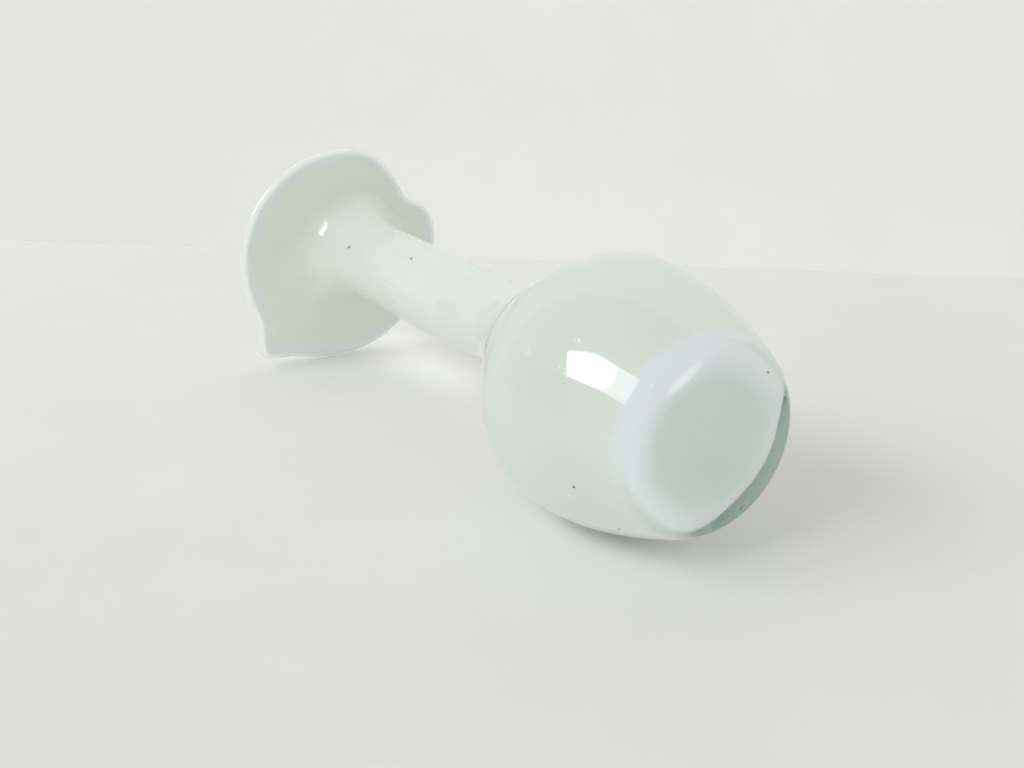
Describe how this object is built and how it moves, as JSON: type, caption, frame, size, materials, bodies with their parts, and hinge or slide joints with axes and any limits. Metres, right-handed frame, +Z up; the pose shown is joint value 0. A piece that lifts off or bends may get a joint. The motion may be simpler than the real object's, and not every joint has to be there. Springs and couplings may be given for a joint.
{
  "type": "bud vase",
  "caption": "Hand-blown bud vase with an egg-shaped body, a slim neck and a trumpet mouth drawn into a tip, in milky opal glass cased in clear aqua glass.",
  "frame": {"origin": "centre of the flat of the foot, on the surface that the vase stands on", "axes": "+Z up the axis of the body from the foot to the mouth, -X towards the long tip of the rim"},
  "size_m": [0.0845, 0.0727, 0.21],
  "materials": {
    "clear_aqua_glass": "fire-polished clear aqua glass with a few seeds",
    "opal_glass": "milky, faintly green opal glass"
  },
  "bodies": {
    "root": {"clear_casing": "clear_aqua_glass", "opal_lining": "opal_glass"}
  },
  "joints": []
}
